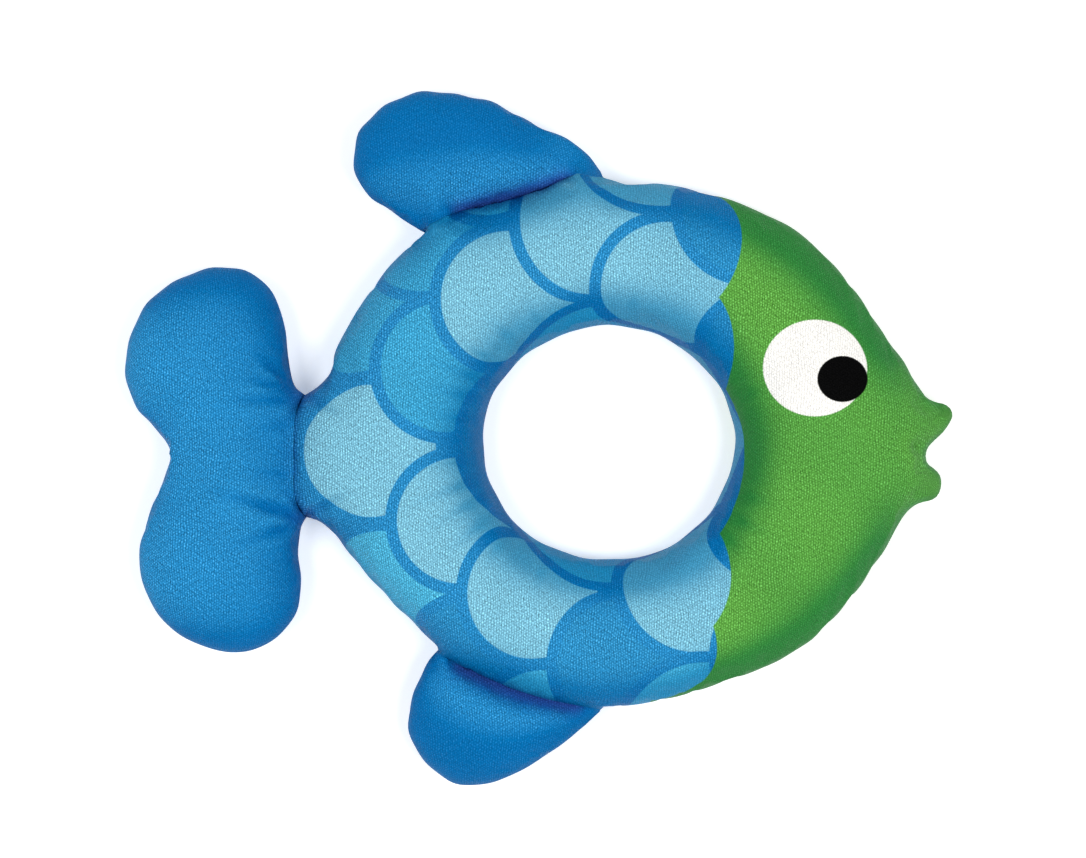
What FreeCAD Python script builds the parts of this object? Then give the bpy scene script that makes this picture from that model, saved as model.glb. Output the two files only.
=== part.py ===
import FreeCAD, Part
import math
import os

# A soft ring float in the shape of a fish, in millimetres. It lies flat, with its head towards +X,
# its back fin towards +Y and the side that rests on the floor at z = 0. Each stuffed chamber is a
# front and a back cloth panel over a filling, sewn together in the seam plane at half height.

V = FreeCAD.Vector

# Heights. The body sags a little on the floor, so its back is cut flat.
BODY_HALF = 32.0        # from the seam plane to the top of the ring
FLOOR_SAG = 1.2         # how much of the back the floor presses flat
SEAM_Z = BODY_HALF - FLOOR_SAG
HEAD_RISE = 4.0         # how much higher the top of the head is than the ring
HEAD_START_X = 70.0
HEAD_FULL_X = 140.0
TAIL_HALF = 25.0
UPPER_FIN_HALF = 20.0
LOWER_FIN_HALF = 18.0

# Cloth, thread and the room round them
COVER = 1.5             # thickness of the padded knit cloth
THREAD_R = 0.4
THREAD_INSET = 1.6      # from the inside of the cloth to the middle of the seam thread
FILLING_INSET = 2.5     # from the inside of the cloth to the edge of the filling
FILLING_GAP = 1.2       # between the filling and the cloth above it
HINGE_GAP = 1.5         # from a hinge line to the cloth on each side of it
HINGE_THREAD_R = 0.5

# The hand hole
HOLE_X = 35.7
HOLE_Y = -1.6
HOLE_RX = 65.6
HOLE_RY = 61.0

# Hinge lines. The tail's runs along Y. A fin's frame has x along its base and y outwards.
TAIL_HINGE_X = -124.0
TAIL_HINGE_Y = (-36.0, 20.0)
UPPER_FIN_BASE = V(-13.9, 133.0, SEAM_Z)
UPPER_FIN_TURN = 16.0
UPPER_FIN_LEAN = 15.0   # towards the front
UPPER_FIN_HINGE = (-44.0, 32.0)
LOWER_FIN_BASE = V(-12.7, -132.2, SEAM_Z)
LOWER_FIN_TURN = 160.6
LOWER_FIN_LEAN = -12.0  # towards the back
LOWER_FIN_HINGE = (-34.0, 36.0)

# Outlines run anticlockwise. Each point is x, y and pinch: 0 where the cloth is full right up to the
# seam, 1 where it comes down to the seam as a thin wedge, as at a hinge or a lip.
NECK_EDGE = TAIL_HINGE_X + HINGE_GAP
TAIL_ROOT = TAIL_HINGE_X - HINGE_GAP
BODY_OUTLINE = [
    (201.8, -7.5, 1), (205.5, -0.5, 1), (211.5, 5.5, 1), (215.0, 12.3, 1), (211.8, 18.8, 1),
    (203.0, 22.0, 1), (197.0, 29.5, 0.7), (187.5, 45.5, 0.3), (171.4, 67.2, 0), (151.6, 91.0, 0),
    (128.0, 110.5, 0), (101.6, 123.5, 0), (70.0, 131.5, 0), (40.0, 135.2, 0), (15.6, 136.0, 0),
    (-10.9, 132.5, 0), (-40.0, 121.8, 0), (-60.4, 107.0, 0), (-76.5, 92.0, 0), (-90.0, 75.0, 0),
    (-101.5, 54.5, 0.2), (-107.5, 40.5, 0.6), (-114.5, 29.5, 1), (-120.5, 24.3, 1),
    (NECK_EDGE, 16.5, 1), (NECK_EDGE, -8.0, 1), (NECK_EDGE, -33.0, 1),
    (-120.5, -40.6, 1), (-114.0, -43.3, 1), (-106.5, -50.5, 0.6), (-97.0, -62.5, 0.2),
    (-82.5, -79.5, 0), (-66.5, -95.0, 0), (-49.0, -109.5, 0), (-28.1, -122.0, 0),
    (3.1, -133.2, 0), (33.0, -138.2, 0), (58.0, -136.8, 0), (83.4, -130.3, 0), (106.0, -122.5, 0),
    (127.0, -112.5, 0), (147.4, -97.5, 0), (165.0, -77.5, 0), (180.5, -57.5, 0.3),
    (189.0, -41.5, 0.7), (197.5, -33.8, 1), (204.5, -31.8, 1), (209.0, -25.5, 1), (208.0, -18.3, 1),
    (203.8, -13.2, 1)]
TAIL_OUTLINE = [
    (TAIL_ROOT, -8.0, 1), (TAIL_ROOT, 10.0, 1), (-126.6, 24.0, 1), (-129.7, 37.0, 0.6),
    (-131.8, 54.2, 0.2), (-135.5, 70.0, 0), (-144.5, 83.5, 0), (-157.0, 90.0, 0), (-172.0, 89.0, 0),
    (-190.0, 82.5, 0), (-205.5, 68.5, 0), (-214.0, 48.0, 0), (-214.7, 29.5, 0), (-208.5, 14.0, 0),
    (-198.0, 3.0, 0), (-193.5, -7.0, 0), (-195.2, -18.0, 0), (-201.0, -31.5, 0), (-207.0, -48.0, 0),
    (-208.7, -64.0, 0), (-204.0, -82.0, 0), (-193.0, -97.0, 0), (-176.0, -107.0, 0),
    (-158.0, -110.5, 0), (-141.0, -105.0, 0), (-129.5, -93.5, 0), (-125.5, -77.0, 0.2),
    (-126.4, -58.0, 0.6), (-126.6, -42.0, 1), (TAIL_ROOT, -26.0, 1)]
UPPER_FIN_OUTLINE = [
    (-50.0, 1.8, 1), (-25.0, HINGE_GAP, 1), (0.0, HINGE_GAP, 1), (25.0, HINGE_GAP, 1),
    (36.5, 2.0, 1), (41.0, 7.5, 0.6), (35.0, 14.5, 0.3), (25.0, 23.0, 0), (10.0, 36.7, 0),
    (-5.0, 49.2, 0), (-22.0, 57.7, 0), (-38.0, 61.0, 0), (-53.0, 59.2, 0), (-68.0, 50.2, 0),
    (-76.5, 34.7, 0), (-75.5, 18.0, 0), (-69.0, 7.5, 0.5), (-60.0, 2.8, 1)]
LOWER_FIN_OUTLINE = [
    (-36.0, 2.5, 1), (-18.0, HINGE_GAP, 1), (0.0, HINGE_GAP, 1), (20.0, HINGE_GAP, 1),
    (39.0, 2.0, 1), (47.0, 6.5, 0.6), (50.0, 18.0, 0.1), (47.5, 34.0, 0), (40.5, 46.0, 0),
    (28.5, 54.0, 0), (15.0, 56.3, 0), (3.0, 53.5, 0), (-8.5, 45.5, 0), (-20.5, 33.5, 0),
    (-31.5, 18.5, 0.1), (-38.5, 9.0, 0.6)]
TAIL_MIDDLE = (-166.0, -8.0)
UPPER_FIN_MIDDLE = (-22.0, 28.0)
LOWER_FIN_MIDDLE = (10.0, 27.0)

# Height across a chamber. Each row is how far it is from the inner edge or middle to the outline,
# and its share of the full height, first for a full edge and then for a pinched one.
RING_ROWS = [
    ((0.0, 0.0), (0.0, 0.0)), ((0.07, 0.48), (0.07, 0.48)), ((0.2, 0.92), (0.2, 0.92)),
    ((0.5, 1.04), (0.45, 1.04)), ((0.8, 0.92), (0.7, 0.72)), ((0.93, 0.48), (0.88, 0.2)),
    ((1.0, 0.0), (1.0, 0.0))]
DISC_ROWS = [
    ((0.0, 1.0), (0.0, 1.0)), ((0.25, 1.0), (0.25, 1.0)), ((0.55, 1.0), (0.5, 0.85)),
    ((0.8, 0.85), (0.75, 0.45)), ((0.94, 0.42), (0.9, 0.13)), ((1.0, 0.0), (1.0, 0.0))]
THREAD_SIDES = 8
FLAT = 1e-6             # how far an edge may leave the seam plane and still lie in it
DEGREE = 3              # of every curve and surface
BEYOND = 600.0          # side of a cutting block that reaches past the whole float
THREAD_POLE_R = THREAD_R * 6.0 / (4.0 + 2.0 * math.cos(2.0 * math.pi / THREAD_SIDES))


def outward(points):
    """Unit normals of a closed anticlockwise outline, one at each point."""
    normals = []
    for i in range(len(points)):
        before = points[i - 1]
        after = points[(i + 1) % len(points)]
        along = V(after[0] - before[0], after[1] - before[1], 0).normalize()
        normals.append(V(along.y, -along.x, 0))
    return normals


def offset(points, distance):
    """A closed outline moved outwards by distance, with its pinch values kept."""
    moved = []
    for point, normal in zip(points, outward(points)):
        moved.append((point[0] + normal.x * distance, point[1] + normal.y * distance, point[2]))
    return moved


def hole_edge(grow):
    """Points on the hand hole, one for each point of the body's outline, grown by grow."""
    edge = []
    for x, y, pinch in BODY_OUTLINE:
        angle = math.atan2((y - HOLE_Y) / HOLE_RY, (x - HOLE_X) / HOLE_RX)
        edge.append((HOLE_X + (HOLE_RX + grow) * math.cos(angle),
                     HOLE_Y + (HOLE_RY + grow) * math.sin(angle)))
    return edge


def spacing(points):
    """Curve parameters of a closed outline, by the distance between its points."""
    params = [0.0]
    for i, point in enumerate(points):
        after = points[(i + 1) % len(points)]
        params.append(params[-1] + math.hypot(after[0] - point[0], after[1] - point[1]))
    return params


def closed_curve(points, params):
    """A smooth closed curve through the points."""
    curve = Part.BSplineCurve()
    curve.interpolate(Points=points, PeriodicFlag=True, Parameters=params)
    return curve


def ring_front_height(x):
    """Height of the body's front above the seam plane, for the outline point at x. It goes up
    smoothly from the start of the head."""
    share = min(max((x - HEAD_START_X) / (HEAD_FULL_X - HEAD_START_X), 0.0), 1.0)
    return BODY_HALF + HEAD_RISE * share * share * (3.0 - 2.0 * share)


def row_poles(points, params):
    """Poles of a smooth closed curve through the points, or the one point that they all are. The
    curve has one pole more than it has points."""
    spread = max((point - points[0]).Length for point in points)
    if spread == 0.0:
        return [points[0]] * (len(points) + 1)
    return closed_curve(points, params).getPoles()


def half_chamber(chamber, inset, drop, side):
    """The solid between the seam plane, at z = 0, and one face of a chamber. inset moves its rims
    into the chamber and drop lowers its crown. side is 1 for the front and -1 for the back."""
    outline = offset(chamber["outline"], -inset)
    near_edge = chamber["inner"](inset)
    height = chamber["front"] if side > 0 else chamber["back"]
    params = spacing(chamber["outline"])
    rows = []
    for full, pinched in chamber["rows"]:
        points = []
        for near, (x, y, pinch) in zip(near_edge, outline):
            share = full[0] + pinch * (pinched[0] - full[0])
            rise = full[1] + pinch * (pinched[1] - full[1])
            points.append(V(near[0] + share * (x - near[0]), near[1] + share * (y - near[1]),
                            side * rise * (height(x) - drop)))
        rows.append(row_poles(points, params))
    rim_curve = closed_curve([V(x, y, 0) for x, y, pinch in outline], params)
    spans = len(rows) - DEGREE
    surface = Part.BSplineSurface()
    surface.buildFromPolesMultsKnots(
        list(zip(*rows)), rim_curve.getMultiplicities(),
        [DEGREE + 1] + [1] * (spans - 1) + [DEGREE + 1], rim_curve.getKnots(),
        [i / spans for i in range(spans + 1)], True, False, DEGREE, DEGREE)
    return close_half(surface.toShape())


def close_half(skin):
    """Closes a skin with a flat face between its rims, which lie in the seam plane."""
    rims = []
    for edge in skin.Edges:
        box = edge.BoundBox
        if edge.Length > FLAT and box.ZLength < FLAT and abs(box.ZMin) < FLAT:
            rims.append(Part.Wire(edge))
    flat = Part.makeFace(rims, "Part::FaceMakerBullseye")
    solid = Part.makeSolid(Part.makeShell([skin, flat]))
    if solid.Volume < 0:
        solid.reverse()
    return solid


def above_floor(shape, clearance):
    """The part of a body shape, made round the seam plane, that is above the floor's cut."""
    slab = Part.makeBox(BEYOND, BEYOND, BEYOND, V(-BEYOND / 2, -BEYOND / 2, clearance - SEAM_Z))
    return shape.common(slab)


def panel(chamber, side):
    """A cloth panel: one face of a chamber, less what is inside the cloth."""
    outer = half_chamber(chamber, 0.0, 0.0, side)
    inner = half_chamber(chamber, COVER, COVER, side)
    if chamber["rests"] and side < 0:
        outer = above_floor(outer, 0.0)
        inner = above_floor(inner, COVER)
    return outer.cut(inner)


def filling(chamber):
    """The stuffing: both halves of the inside of a chamber, a little smaller than the cloth."""
    inset = COVER + FILLING_INSET
    drop = COVER + FILLING_GAP
    front = half_chamber(chamber, inset, drop, 1)
    back = half_chamber(chamber, inset, drop, -1)
    if chamber["rests"]:
        back = above_floor(back, drop)
    return front.fuse(back).removeSplitter()


def seam_thread(rim, params):
    """A round bead along a seam. rim gives the seam's points, moved into the chamber."""
    rows = []
    for side in range(THREAD_SIDES):
        angle = 2.0 * math.pi * side / THREAD_SIDES
        inset = COVER + THREAD_INSET + THREAD_POLE_R * math.cos(angle)
        height = THREAD_POLE_R * math.sin(angle)
        points = [V(point[0], point[1], height) for point in rim(inset)]
        curve = closed_curve(points, params)
        rows.append(curve.getPoles())
    surface = Part.BSplineSurface()
    surface.buildFromPolesMultsKnots(
        list(zip(*rows)), curve.getMultiplicities(), [1] * (THREAD_SIDES + 1), curve.getKnots(),
        list(range(THREAD_SIDES + 1)), True, True, DEGREE, DEGREE)
    solid = Part.makeSolid(Part.makeShell([surface.toShape()]))
    if solid.Volume < 0:
        solid.reverse()
    return solid


def edge_thread(chamber):
    """The thread of the seam round a chamber's outline."""
    def rim(inset):
        return offset(chamber["outline"], -inset)
    return seam_thread(rim, spacing(chamber["outline"]))


def hinge_stitch(start, end):
    """A round line of stitches on a hinge line, from one point in the seam plane to another."""
    return Part.makeCylinder(HINGE_THREAD_R, (end - start).Length, start, end - start)


def placed(shape, base, turn, lean):
    """A shape tipped by lean about its own x, then turned about z, then moved to base."""
    tip = FreeCAD.Placement(V(0, 0, 0), FreeCAD.Rotation(V(1, 0, 0), lean))
    move = FreeCAD.Placement(base, FreeCAD.Rotation(V(0, 0, 1), turn))
    result = shape.copy()
    result.Placement = move.multiply(tip)
    return result


def disc_chamber(outline, middle, half_height):
    """A stuffed chamber with no hole, highest at its middle."""
    def inner(inset):
        return [middle] * len(outline)

    def height(x):
        return half_height
    return {"outline": outline, "inner": inner, "rows": DISC_ROWS, "front": height,
            "back": height, "rests": False}


def ring_chamber():
    """The body: a stuffed ring round the hand hole, with the head on one side."""
    def back_height(x):
        return BODY_HALF
    return {"outline": BODY_OUTLINE, "inner": hole_edge, "rows": RING_ROWS,
            "front": ring_front_height, "back": back_height, "rests": True}


def body_nodes():
    """The body's pieces in place."""
    ring = ring_chamber()
    pieces = {"body_panel_front": panel(ring, 1),
              "body_panel_back": panel(ring, -1),
              "body_filling": filling(ring),
              "body_outer_seam_thread": edge_thread(ring),
              "body_hole_seam_thread": seam_thread(hole_edge, spacing(BODY_OUTLINE))}
    return {name: placed(shape, V(0, 0, SEAM_Z), 0, 0) for name, shape in pieces.items()}


def limb_nodes(name, chamber, stitch, base, turn, lean):
    """The pieces of the tail or of a fin in place, with the stitches that they swing on."""
    pieces = {name + "_panel_front": panel(chamber, 1),
              name + "_panel_back": panel(chamber, -1),
              name + "_filling": filling(chamber),
              name + "_seam_thread": edge_thread(chamber),
              name + "_hinge_stitch": stitch}
    return {node: placed(shape, base, turn, lean) for node, shape in pieces.items()}


def all_nodes():
    """Every piece of the float, by name."""
    nodes = body_nodes()
    nodes.update(limb_nodes(
        "tail", disc_chamber(TAIL_OUTLINE, TAIL_MIDDLE, TAIL_HALF),
        hinge_stitch(V(TAIL_HINGE_X, TAIL_HINGE_Y[0], 0), V(TAIL_HINGE_X, TAIL_HINGE_Y[1], 0)),
        V(0, 0, SEAM_Z), 0, 0))
    nodes.update(limb_nodes(
        "upper_fin", disc_chamber(UPPER_FIN_OUTLINE, UPPER_FIN_MIDDLE, UPPER_FIN_HALF),
        hinge_stitch(V(UPPER_FIN_HINGE[0], 0, 0), V(UPPER_FIN_HINGE[1], 0, 0)),
        UPPER_FIN_BASE, UPPER_FIN_TURN, UPPER_FIN_LEAN))
    nodes.update(limb_nodes(
        "lower_fin", disc_chamber(LOWER_FIN_OUTLINE, LOWER_FIN_MIDDLE, LOWER_FIN_HALF),
        hinge_stitch(V(LOWER_FIN_HINGE[0], 0, 0), V(LOWER_FIN_HINGE[1], 0, 0)),
        LOWER_FIN_BASE, LOWER_FIN_TURN, LOWER_FIN_LEAN))
    return nodes


os.makedirs("parts", exist_ok=True)
for node_name, node_shape in all_nodes().items():
    node_shape.exportStep("parts/" + node_name + ".step")
    extent = node_shape.BoundBox
    print(f"{node_name:24} solids {len(node_shape.Solids)} valid {node_shape.isValid()} "
          f"volume {node_shape.Volume / 1000:8.2f} cm3 "
          f"x {extent.XMin:7.1f} {extent.XMax:7.1f} y {extent.YMin:7.1f} {extent.YMax:7.1f} "
          f"z {extent.ZMin:6.1f} {extent.ZMax:6.1f}")
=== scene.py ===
import bpy
import math
import numpy as np
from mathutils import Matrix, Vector, geometry


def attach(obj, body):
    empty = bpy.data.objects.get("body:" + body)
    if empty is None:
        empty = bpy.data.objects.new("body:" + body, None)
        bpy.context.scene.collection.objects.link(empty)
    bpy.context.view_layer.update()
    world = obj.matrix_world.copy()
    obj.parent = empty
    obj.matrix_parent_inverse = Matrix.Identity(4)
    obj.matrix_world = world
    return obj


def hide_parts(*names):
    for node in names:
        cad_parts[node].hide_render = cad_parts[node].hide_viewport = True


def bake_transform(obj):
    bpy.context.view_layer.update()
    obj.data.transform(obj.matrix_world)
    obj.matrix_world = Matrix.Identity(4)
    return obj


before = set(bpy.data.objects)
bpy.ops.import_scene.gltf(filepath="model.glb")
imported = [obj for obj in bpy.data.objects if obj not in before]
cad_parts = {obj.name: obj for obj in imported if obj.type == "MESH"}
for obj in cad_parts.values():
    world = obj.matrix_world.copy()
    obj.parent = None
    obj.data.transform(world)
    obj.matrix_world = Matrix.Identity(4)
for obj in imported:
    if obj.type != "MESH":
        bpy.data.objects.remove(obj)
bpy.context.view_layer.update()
MM = 0.001
SEAM = 30.8            # height of the seam plane, mm

# ---------------------------------------------------------------- outlines, in mm
# Seen from the front, head towards +X. Each run starts and ends at a notch where chambers meet.
BODY_A = [(-122.4, 24.0), (-115.1, 28.7), (-109.4, 35.4), (-106.3, 46.9), (-99.0, 59.9),
          (-88.6, 77.1), (-72.9, 95.9), (-60.4, 107.8)]
UPPER_FIN = [(-60.4, 107.8), (-67.2, 112.0), (-80.2, 120.4), (-88.6, 126.1), (-94.6, 134.4),
             (-96.9, 143.2), (-94.6, 158.4), (-87.5, 167.2), (-79.2, 174.0), (-68.2, 178.9),
             (-59.4, 180.6), (-52.1, 180.3), (-41.2, 179.2), (-29.7, 177.1), (-20.3, 173.5),
             (-12.1, 169.2), (-2.1, 164.1), (7.3, 159.4), (16.7, 154.8), (24.5, 148.5),
             (34.4, 135.5)]
BODY_B = [(34.4, 135.5), (43.8, 133.7), (53.1, 133.4), (62.5, 132.9), (72.4, 131.3),
          (83.4, 128.7), (92.9, 126.4), (101.6, 123.5), (117.2, 116.7), (130.2, 110.2),
          (141.3, 101.6), (151.8, 91.7), (162.0, 79.7), (171.4, 67.2), (180.3, 53.8),
          (190.2, 40.2), (197.9, 26.9), (201.1, 22.8), (205.3, 20.6), (210.5, 19.3),
          (213.9, 16.7), (215.2, 12.5), (213.6, 8.3), (210.5, 4.2), (205.8, 0.0),
          (202.7, -3.8), (201.5, -8.2), (202.1, -11.5), (205.3, -14.6), (208.1, -17.6),
          (209.4, -21.9), (208.7, -26.6), (206.5, -29.9), (203.7, -31.5), (200.6, -32.3),
          (196.9, -33.9), (190.9, -38.6), (187.3, -43.2), (182.4, -53.1), (173.0, -67.2),
          (159.4, -84.9), (149.4, -95.9), (140.2, -104.0), (123.5, -114.6), (103.2, -123.0),
          (83.4, -129.9), (57.3, -136.6), (33.3, -139.4)]
LOWER_FIN = [(33.3, -139.4), (20.3, -151.6), (8.5, -161.1), (-5.7, -170.4), (-21.9, -178.0),
             (-34.9, -180.8), (-45.3, -179.2), (-55.0, -173.0), (-64.7, -162.0),
             (-68.8, -149.0), (-66.2, -131.8), (-60.2, -119.0), (-53.1, -108.9)]
BODY_C = [(-53.1, -108.9), (-67.2, -94.3), (-84.0, -77.4), (-100.6, -57.8), (-107.8, -49.0),
          (-114.6, -42.7), (-121.4, -40.6)]
TAIL = [(-121.4, -40.6), (-124.0, -45.3), (-125.4, -57.3), (-124.4, -74.6), (-126.8, -90.1),
        (-136.5, -102.1), (-149.1, -109.2), (-160.4, -110.5), (-173.0, -107.8),
        (-186.6, -101.9), (-195.9, -93.8), (-204.3, -80.7), (-207.9, -69.3), (-208.5, -58.4),
        (-205.9, -45.3), (-200.1, -29.7), (-194.9, -16.6), (-193.2, -7.1), (-195.4, -0.6),
        (-201.7, 6.8), (-210.0, 16.7), (-215.0, 29.2), (-215.4, 43.8), (-211.6, 58.4),
        (-206.3, 68.3), (-199.6, 76.0), (-190.2, 82.6), (-178.2, 87.7), (-166.7, 90.0),
        (-154.2, 88.6), (-143.8, 82.3), (-136.4, 71.2), (-132.3, 56.2), (-129.9, 37.4),
        (-126.6, 27.5), (-122.4, 24.0)]
# Stitch lines that part the chambers. Each runs from notch to notch.
NECK = [(-122.4, 24.0), (-125.0, 18.2), (-126.6, 10.4), (-127.1, 0.0), (-127.4, -8.9),
        (-127.4, -19.3), (-126.9, -28.7), (-125.0, -35.4), (-121.4, -40.6)]
UPPER_CREASE = [(-60.4, 107.8), (-52.1, 113.6), (-43.8, 117.2), (-34.4, 120.4),
                (-25.0, 123.0), (-15.1, 125.6), (-5.2, 128.6), (5.2, 132.2), (15.6, 136.0),
                (25.0, 136.8), (34.4, 135.5)]
LOWER_CREASE = [(-53.1, -108.9), (-48.5, -113.0), (-39.1, -118.3), (-25.0, -124.5),
                (-14.6, -128.7), (-3.6, -132.3), (6.3, -134.9), (16.2, -137.0),
                (23.4, -138.3), (29.0, -139.0), (33.3, -139.4)]
HOLE = (35.7, -1.6, 65.6, 61.0)
# The chambers by number; each fin's hinge is its middle and the turn of its line.
REGIONS = {0: "body", 1: "tail", 2: "upper_fin", 3: "lower_fin"}
HINGES = {2: (np.array([-13.9, 133.0]), math.radians(16.0)),
          3: (np.array([-12.7, -132.2]), math.radians(160.6))}

STEP = 2.5             # spacing of the mesh along outlines, mm
HEX_STEP = 2.9         # and inside the chambers
HEX_JITTER = 0.12      # how far its points stray from an even grid
EDGE_RINGS = [0.3, 0.95, 1.9, 3.2, 4.8, 6.7]    # rings of points beside the outlines
CREASE_RINGS = [0.7, 1.6, 2.8, 4.3, 6.2]        # and beside the stitch lines
CLEAR = 8.4            # the even grid starts this far from any line
LEAST_GAP = 1.2        # its points stay this far apart
COVER = 1.2            # cloth thickness
STUFFING = 2.7         # depth of the stuffing under the cloth's face
FLOOR_CLEAR = 0.4      # least height above the floor, before the cloth simulation
CLOTH_FRAMES = 20
MOST_MOVE = 5.0        # the cloth simulation moves no point further than this

PHOTO_WIDTH = 1086     # pixels
PIXEL = 0.521          # mm for each pixel of the photograph
VIEW_DISTANCE_MM = 2000.0
EYE_POINT = np.array([1.56, 5.73])      # the point of the plan straight under the camera

rng = np.random.default_rng(7)


def spline(points, step=STEP):
    """Centripetal Catmull-Rom curve through the points, resampled evenly."""
    pts = [np.array(p, float) for p in points]
    pts = [2 * pts[0] - pts[1]] + pts + [2 * pts[-1] - pts[-2]]
    fine = []
    for i in range(1, len(pts) - 2):
        p0, p1, p2, p3 = pts[i - 1:i + 3]
        t0 = 0.0
        t1 = t0 + np.linalg.norm(p1 - p0) ** 0.5
        t2 = t1 + np.linalg.norm(p2 - p1) ** 0.5
        t3 = t2 + np.linalg.norm(p3 - p2) ** 0.5
        for t in np.linspace(t1, t2, 24, endpoint=False):
            a1 = (t1 - t) / (t1 - t0) * p0 + (t - t0) / (t1 - t0) * p1
            a2 = (t2 - t) / (t2 - t1) * p1 + (t - t1) / (t2 - t1) * p2
            a3 = (t3 - t) / (t3 - t2) * p2 + (t - t2) / (t3 - t2) * p3
            b1 = (t2 - t) / (t2 - t0) * a1 + (t - t0) / (t2 - t0) * a2
            b2 = (t3 - t) / (t3 - t1) * a2 + (t - t1) / (t3 - t1) * a3
            fine.append((t2 - t) / (t2 - t1) * b1 + (t - t1) / (t2 - t1) * b2)
    fine.append(pts[-2])
    fine = np.array(fine)
    lengths = np.concatenate([[0], np.cumsum(np.linalg.norm(np.diff(fine, axis=0), axis=1))])
    count = max(2, int(round(lengths[-1] / step)))
    at = np.linspace(0, lengths[-1], count + 1)
    return np.stack([np.interp(at, lengths, fine[:, k]) for k in (0, 1)], axis=1)


runs = [spline(r) for r in (BODY_A, UPPER_FIN, BODY_B, LOWER_FIN, BODY_C, TAIL)]
outline = np.concatenate([r[:-1] for r in runs])
# The sewn edges ripple a little, out of the outline and round the hole.
steps = np.arange(len(outline))
ripple = 0.38 + 0.26 * np.sin(steps * 0.62 + 0.7) * np.sin(steps * 0.17) \
    + 0.14 * np.sin(steps * 0.83 + 2.0)
ahead = np.roll(outline, -1, axis=0) - np.roll(outline, 1, axis=0)
ahead /= np.linalg.norm(ahead, axis=1)[:, None]
outline = outline + np.stack([ahead[:, 1], -ahead[:, 0]], axis=1) * ripple[:, None]
turns = np.linspace(0, 2 * math.pi, 157)[:-1]
wave = 1 + 0.006 * np.sin(5 * turns + 0.6) + 0.004 * np.sin(11 * turns + 2.0) \
    + 0.003 * np.sin(17 * turns)
hole = np.stack([HOLE[0] + HOLE[2] * wave * np.cos(turns),
                 HOLE[1] + HOLE[3] * wave * np.sin(turns)], axis=1)
creases = {"neck": spline(NECK), "upper": spline(UPPER_CREASE), "lower": spline(LOWER_CREASE)}


def nearest(points, loops):
    """Distance from each point to the nearest of the polylines, and the nearest point itself."""
    best = np.full(len(points), 1e9)
    foot = np.zeros((len(points), 2))
    for line, closed in loops:
        a = line if closed else line[:-1]
        b = np.roll(line, -1, axis=0) if closed else line[1:]
        ab = b - a
        for k in range(0, len(points), 4000):
            p = points[k:k + 4000]
            t = ((p[:, None, :] - a[None]) * ab[None]).sum(2) / (ab ** 2).sum(1)[None]
            t = np.clip(t, 0, 1)
            q = a[None] + t[..., None] * ab[None]
            d = np.linalg.norm(p[:, None, :] - q, axis=2)
            j = d.argmin(1)
            dmin = d[np.arange(len(p)), j]
            better = dmin < best[k:k + 4000]
            rows = np.where(better)[0]
            best[k + rows] = dmin[rows]
            foot[k + rows] = q[rows, j[rows]]
    return best, foot


def inside(points, poly):
    """Which points are inside a closed polygon."""
    x, y = points[:, 0][:, None], points[:, 1][:, None]
    x1, y1 = poly[:, 0][None], poly[:, 1][None]
    x2, y2 = np.roll(poly[:, 0], -1)[None], np.roll(poly[:, 1], -1)[None]
    cross = ((y1 > y) != (y2 > y)) & (x < (x2 - x1) * (y - y1) / (y2 - y1 + 1e-12) + x1)
    return cross.sum(1) % 2 == 1


def in_cloth(points):
    """Which points of the plan are on the cloth: inside the outline and outside the hole."""
    return inside(points, outline) & ~inside(points, hole)


def too_near(a, b, gap):
    """Whether two points are closer than gap; a quick test rules out most."""
    return abs(a[0] - b[0]) + abs(a[1] - b[1]) < 1.4 * gap and np.hypot(*(a - b)) < gap


def line_normals(line, closed):
    """Unit normals of a polyline, on its right-hand side."""
    if closed:
        along = np.roll(line, -1, axis=0) - np.roll(line, 1, axis=0)
    else:
        along = np.gradient(line, axis=0)
    along /= np.linalg.norm(along, axis=1)[:, None]
    return np.stack([along[:, 1], -along[:, 0]], axis=1)


edge_lines = [(outline, True), (hole, True)]
all_lines = edge_lines + [(c, False) for c in creases.values()]


def plan_points():
    """Points of the flat mesh: outlines, stitch lines, rings beside them and an even filling."""
    fixed = [outline, hole] + [c[1:-1] for c in creases.values()]
    extra = []
    for line, closed in all_lines:
        normals = line_normals(line, closed)
        for dist in EDGE_RINGS if closed else CREASE_RINGS:
            for side in (1, -1):
                extra.append((line + normals * dist * side, dist))
    cand = np.concatenate([c for c, d in extra])
    want = np.concatenate([np.full(len(c), d) for c, d in extra])
    ok = in_cloth(cand)
    cand, want = cand[ok], want[ok]
    # A ring's point that has come nearer to another line than its own is dropped.
    ok = nearest(cand, all_lines)[0] > want * 0.93
    cand, want = cand[ok], want[ok]
    grid = []
    for j, y in enumerate(np.arange(-190, 190, HEX_STEP * math.sqrt(0.75))):
        xs = np.arange(-222, 222, HEX_STEP) + (j % 2) * HEX_STEP / 2
        grid.append(np.stack([xs, np.full(len(xs), y)], axis=1))
    grid = np.concatenate(grid) + rng.normal(0, HEX_JITTER, (sum(len(g) for g in grid), 2))
    grid = grid[in_cloth(grid)]
    grid = grid[nearest(grid, all_lines)[0] > CLEAR]
    pts = np.concatenate([cand, grid])
    gap = np.concatenate([np.minimum(0.45 * want + 0.25, LEAST_GAP), np.full(len(grid), LEAST_GAP)])
    # Points are taken in turn, unless one taken before is too near; cells a little wider than
    # the gap keep that search short.
    cell = 1.3
    keep = []
    cells = {}
    for i, p in enumerate(pts):
        key = (int(p[0] // cell), int(p[1] // cell))
        around = [j for kx in (-1, 0, 1) for ky in (-1, 0, 1)
                  for j in cells.get((key[0] + kx, key[1] + ky), ())]
        if not any(too_near(pts[j], p, gap[i]) for j in around):
            keep.append(i)
            cells.setdefault(key, []).append(i)
    return fixed, pts[keep]


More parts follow.
